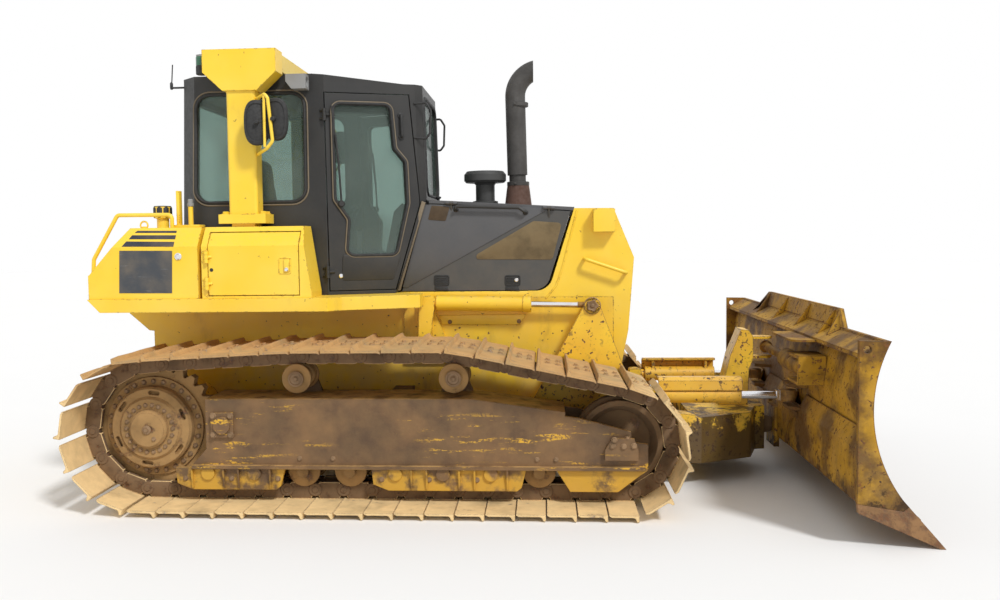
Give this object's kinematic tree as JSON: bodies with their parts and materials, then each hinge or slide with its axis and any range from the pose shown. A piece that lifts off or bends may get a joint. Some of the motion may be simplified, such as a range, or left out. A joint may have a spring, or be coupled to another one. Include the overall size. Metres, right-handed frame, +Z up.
{
  "type": "crawler dozer",
  "caption": "Crawler dozer with wide tracks, a closed cab under an outside roll-over frame, and a front blade that lifts, angles and tilts.",
  "frame": {"origin": "on the ground, under the middle of the length and width", "axes": "+X forward to the blade, +Y to the machine's left, +Z up"},
  "size_m": [5.4009, 3.86, 3.0626],
  "materials": {
    "yellow_paint": "satin",
    "worn_yellow": "chipped",
    "track_steel": "dusty",
    "wheel_steel": "dusty",
    "cab_black": "satin",
    "exhaust_steel": "matte",
    "rod_chrome": "polished",
    "tinted_glass": "tinted",
    "trim": "matte",
    "iron": "matte"
  },
  "bodies": {
    "tractor": {"main_frame": "yellow_paint", "lift_lugs": "yellow_paint", "suspension_bars": "wheel_steel", "drawbar": "worn_yellow", "fuel_tank": "yellow_paint", "deck": "yellow_paint", "rops_frame": "yellow_paint", "cab_shell": "cab_black", "cab_glass": "tinted_glass", "seat": "trim", "console": "trim", "hood": "yellow_paint", "engine_block": "iron", "radiator": "iron", "radiator_guard": "yellow_paint", "front_grille": "cab_black", "exhaust_stack": "exhaust_steel", "precleaner": "cab_black", "handrails": "yellow_paint", "mirrors": "cab_black", "lamps": "cab_black", "track_right": "track_steel", "sprocket_right": "wheel_steel", "idler_right": "wheel_steel", "rollers_right": "wheel_steel", "track_frame_right": "worn_yellow", "fender_box_right": "yellow_paint", "track_left": "track_steel", "sprocket_left": "wheel_steel", "idler_left": "wheel_steel", "rollers_left": "wheel_steel", "track_frame_left": "worn_yellow", "fender_box_left": "yellow_paint"},
    "lift_barrel_right": {"lift_barrel_right": "yellow_paint"},
    "lift_rod_right": {"lift_rod_right": "rod_chrome"},
    "angle_rod_right": {"angle_rod_right": "rod_chrome"},
    "cab_door_right": {"cab_door_right": "cab_black", "door_glass_right": "tinted_glass"},
    "engine_door_right": {"engine_door_right": "yellow_paint"},
    "fender_door_right": {"fender_door_right": "yellow_paint"},
    "angle_barrel_right": {"angle_barrel_right": "yellow_paint"},
    "lift_barrel_left": {"lift_barrel_left": "yellow_paint"},
    "lift_rod_left": {"lift_rod_left": "rod_chrome"},
    "angle_rod_left": {"angle_rod_left": "rod_chrome"},
    "cab_door_left": {"cab_door_left": "cab_black", "door_glass_left": "tinted_glass"},
    "engine_door_left": {"engine_door_left": "yellow_paint"},
    "fender_door_left": {"fender_door_left": "yellow_paint"},
    "angle_barrel_left": {"angle_barrel_left": "yellow_paint"},
    "dozing_frame": {"c_frame": "worn_yellow"},
    "ball": {"centre_ball": "wheel_steel"},
    "blade": {"blade": "worn_yellow", "blade_end_right": "worn_yellow", "blade_end_left": "worn_yellow", "blade_crown": "worn_yellow", "blade_brackets": "worn_yellow", "cutting_edge": "track_steel", "tilt_barrel": "worn_yellow"},
    "tilt_rod": {"tilt_rod": "rod_chrome"}
  },
  "joints": [
    {"name": "lift", "type": "hinge", "parent": "tractor", "child": "dozing_frame", "pos_m": [-0.1305, 0, 0.47], "axis": [0, -1, 0], "range_deg": [-12, 20]},
    {"name": "blade_angle", "type": "hinge", "parent": "dozing_frame", "child": "ball", "pos_m": [2.1495, 0, 0.33], "axis": [0, 0, 1], "range_deg": [-25, 25]},
    {"name": "blade_tilt", "type": "hinge", "parent": "ball", "child": "blade", "pos_m": [2.1495, 0, 0.33], "axis": [1, 0, 0], "range_deg": [-6.5, 6.5]},
    {"name": "lift_barrel_swing_right", "type": "hinge", "parent": "tractor", "child": "lift_barrel_right", "pos_m": [-0.3385, -0.545, 1.299], "axis": [0, -1, 0], "range_deg": [-10.55, 17.58]},
    {"name": "lift_rod_slide_right", "type": "slide", "parent": "lift_barrel_right", "child": "lift_rod_right", "axis": [0.9998, 0, -0.019], "range_m": [-0.29487, 0.17692]},
    {"name": "angle_barrel_swing_right", "type": "hinge", "parent": "dozing_frame", "child": "angle_barrel_right", "pos_m": [1.2195, -0.532, 0.637], "axis": [0, -1, 0], "range_deg": [-3.65, 3.65]},
    {"name": "angle_rod_slide_right", "type": "slide", "parent": "angle_barrel_right", "child": "angle_rod_right", "axis": [1, 0, 0], "range_m": [-0.22708, 0.22708]},
    {"name": "cab_door_swing_right", "type": "hinge", "parent": "tractor", "child": "cab_door_right", "pos_m": [-1.0095, -0.758, 1.372], "axis": [0.0063, -0.0215, -0.9997], "range_deg": [0, 105]},
    {"name": "engine_door_swing_right", "type": "hinge", "parent": "tractor", "child": "engine_door_right", "pos_m": [-0.3495, -0.481, 2.02013], "axis": [-0.998, 0, 0.0626], "range_deg": [0, 80]},
    {"name": "fender_door_swing_right", "type": "hinge", "parent": "tractor", "child": "fender_door_right", "pos_m": [-1.7615, -1.066, 1.372], "axis": [0, 0, -1], "range_deg": [0, 100]},
    {"name": "lift_barrel_swing_left", "type": "hinge", "parent": "tractor", "child": "lift_barrel_left", "pos_m": [-0.3385, 0.545, 1.299], "axis": [0, -1, 0], "range_deg": [-10.55, 17.58]},
    {"name": "lift_rod_slide_left", "type": "slide", "parent": "lift_barrel_left", "child": "lift_rod_left", "axis": [0.9998, 0, -0.019], "range_m": [-0.29487, 0.17692]},
    {"name": "angle_barrel_swing_left", "type": "hinge", "parent": "dozing_frame", "child": "angle_barrel_left", "pos_m": [1.2195, 0.532, 0.637], "axis": [0, -1, 0], "range_deg": [-3.65, 3.65]},
    {"name": "angle_rod_slide_left", "type": "slide", "parent": "angle_barrel_left", "child": "angle_rod_left", "axis": [1, 0, 0], "range_m": [-0.22708, 0.22708]},
    {"name": "cab_door_swing_left", "type": "hinge", "parent": "tractor", "child": "cab_door_left", "pos_m": [-1.0095, 0.758, 1.372], "axis": [-0.0063, -0.0215, 0.9997], "range_deg": [0, 105]},
    {"name": "engine_door_swing_left", "type": "hinge", "parent": "tractor", "child": "engine_door_left", "pos_m": [-0.3495, 0.481, 2.02013], "axis": [0.998, 0, -0.0626], "range_deg": [0, 80]},
    {"name": "fender_door_swing_left", "type": "hinge", "parent": "tractor", "child": "fender_door_left", "pos_m": [-1.7615, 1.066, 1.372], "axis": [0, 0, 1], "range_deg": [0, 100]},
    {"name": "tilt_rod_slide", "type": "slide", "parent": "blade", "child": "tilt_rod", "axis": [-0.0462, 0.9982, 0.0376], "range_m": [-0.06744, 0.06744]}
  ],
  "couplings": [
    {"joint": "lift_barrel_swing_right", "follows": "lift", "ratio": 0.86187},
    {"joint": "lift_rod_slide_right", "follows": "lift", "m_per_rad": -0.83638},
    {"joint": "angle_barrel_swing_right", "follows": "blade_tilt", "ratio": -0.5513},
    {"joint": "angle_rod_slide_right", "follows": "blade_angle", "m_per_rad": 0.51528},
    {"joint": "lift_barrel_swing_left", "follows": "lift", "ratio": 0.86187},
    {"joint": "lift_rod_slide_left", "follows": "lift", "m_per_rad": -0.83638},
    {"joint": "angle_barrel_swing_left", "follows": "blade_tilt", "ratio": 0.5513},
    {"joint": "angle_rod_slide_left", "follows": "blade_angle", "m_per_rad": -0.51528},
    {"joint": "tilt_rod_slide", "follows": "blade_tilt", "m_per_rad": 0.58279}
  ]
}
